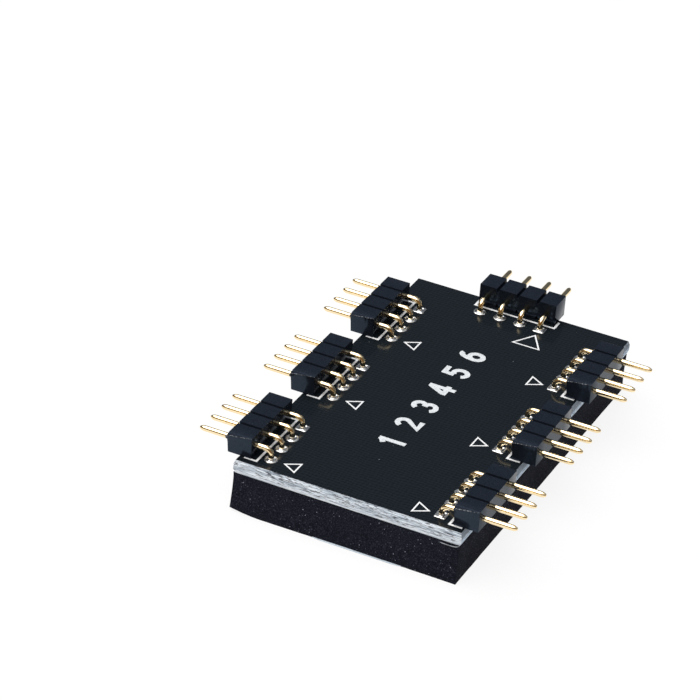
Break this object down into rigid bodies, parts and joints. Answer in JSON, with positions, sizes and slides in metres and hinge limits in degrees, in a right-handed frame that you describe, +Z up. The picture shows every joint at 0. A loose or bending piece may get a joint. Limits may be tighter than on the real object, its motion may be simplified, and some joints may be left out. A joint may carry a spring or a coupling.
{
  "type": "rgb lighting splitter hub",
  "caption": "Small bare circuit board on a thick foam adhesive pad, with right-angle pin headers along its sides and back edge that share out a lighting signal.",
  "frame": {"origin": "middle of the adhesive face, the underside of the release film", "axes": "+Z up out of the board's top, +Y from the front edge towards the input header, +X to the right"},
  "size_m": [0.038, 0.0526, 0.0091],
  "materials": {
    "board": "glass laminate under a black satin solder mask, with a pale snapped edge",
    "foam": "black closed-cell foam, clean cut",
    "liner": "pale blue release film",
    "header_plastic": "black moulded, fine grain",
    "pin_metal": "gold flash, bright",
    "solder": "bright tin"
  },
  "bodies": {
    "root": {"circuit_board": "board", "foam_pad": "foam", "release_liner": "liner", "left_header_1_body": "header_plastic", "left_header_1_pin_1": "pin_metal", "left_header_1_pin_2": "pin_metal", "left_header_1_pin_3": "pin_metal", "left_header_1_pin_4": "pin_metal", "left_header_1_solder": "solder", "right_header_1_body": "header_plastic", "right_header_1_pin_1": "pin_metal", "right_header_1_pin_2": "pin_metal", "right_header_1_pin_3": "pin_metal", "right_header_1_pin_4": "pin_metal", "right_header_1_solder": "solder", "left_header_2_body": "header_plastic", "left_header_2_pin_1": "pin_metal", "left_header_2_pin_2": "pin_metal", "left_header_2_pin_3": "pin_metal", "left_header_2_pin_4": "pin_metal", "left_header_2_solder": "solder", "right_header_2_body": "header_plastic", "right_header_2_pin_1": "pin_metal", "right_header_2_pin_2": "pin_metal", "right_header_2_pin_3": "pin_metal", "right_header_2_pin_4": "pin_metal", "right_header_2_solder": "solder", "left_header_3_body": "header_plastic", "left_header_3_pin_1": "pin_metal", "left_header_3_pin_2": "pin_metal", "left_header_3_pin_3": "pin_metal", "left_header_3_pin_4": "pin_metal", "left_header_3_solder": "solder", "right_header_3_body": "header_plastic", "right_header_3_pin_1": "pin_metal", "right_header_3_pin_2": "pin_metal", "right_header_3_pin_3": "pin_metal", "right_header_3_pin_4": "pin_metal", "right_header_3_solder": "solder", "input_header_body": "header_plastic", "input_header_pin_1": "pin_metal", "input_header_pin_2": "pin_metal", "input_header_pin_3": "pin_metal", "input_header_pin_4": "pin_metal", "input_header_solder": "solder"}
  },
  "joints": []
}
